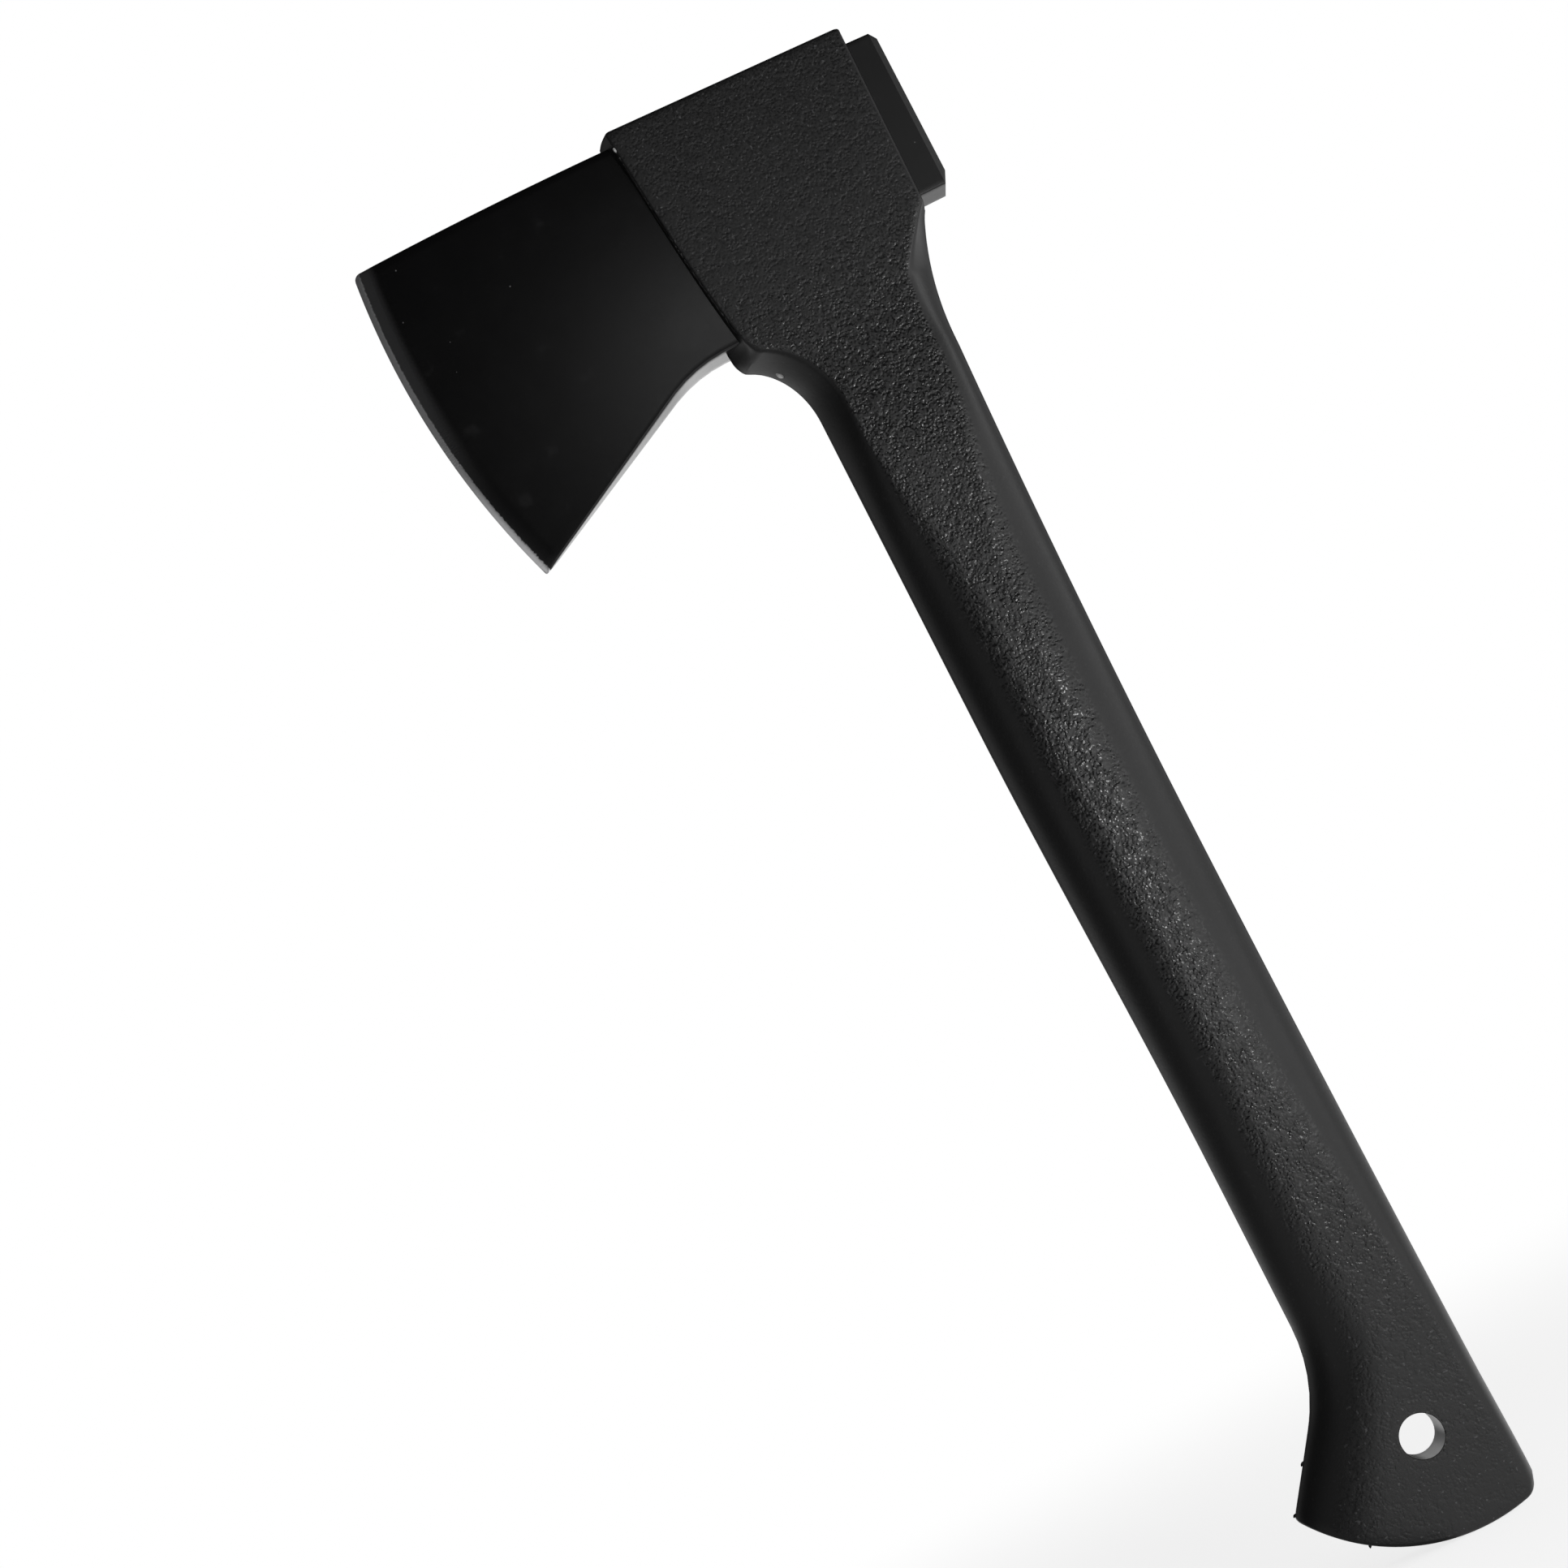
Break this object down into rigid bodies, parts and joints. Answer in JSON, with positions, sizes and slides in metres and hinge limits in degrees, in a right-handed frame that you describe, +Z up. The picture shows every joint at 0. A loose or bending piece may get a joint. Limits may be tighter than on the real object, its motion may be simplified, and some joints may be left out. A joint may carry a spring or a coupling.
{
  "type": "hatchet",
  "caption": "One-hand camping hatchet: wedge blade with a swept beard and a hammer poll, moulded into a nylon handle with a flared butt and a lanyard hole.",
  "frame": {"origin": "centre of the lanyard hole, halfway through the butt's thickness", "axes": "+Z up the grip to the head, -X towards the cutting edge, +X towards the poll, Y through the tool's thickness"},
  "size_m": [0.1094, 0.0194, 0.3007],
  "materials": {
    "coated_steel": "matte black coating on steel, with a bare satin ground cutting edge",
    "nylon": "black glass-filled nylon with a fine moulded grain"
  },
  "bodies": {
    "root": {"axe_head": "coated_steel", "handle": "nylon"}
  },
  "joints": []
}
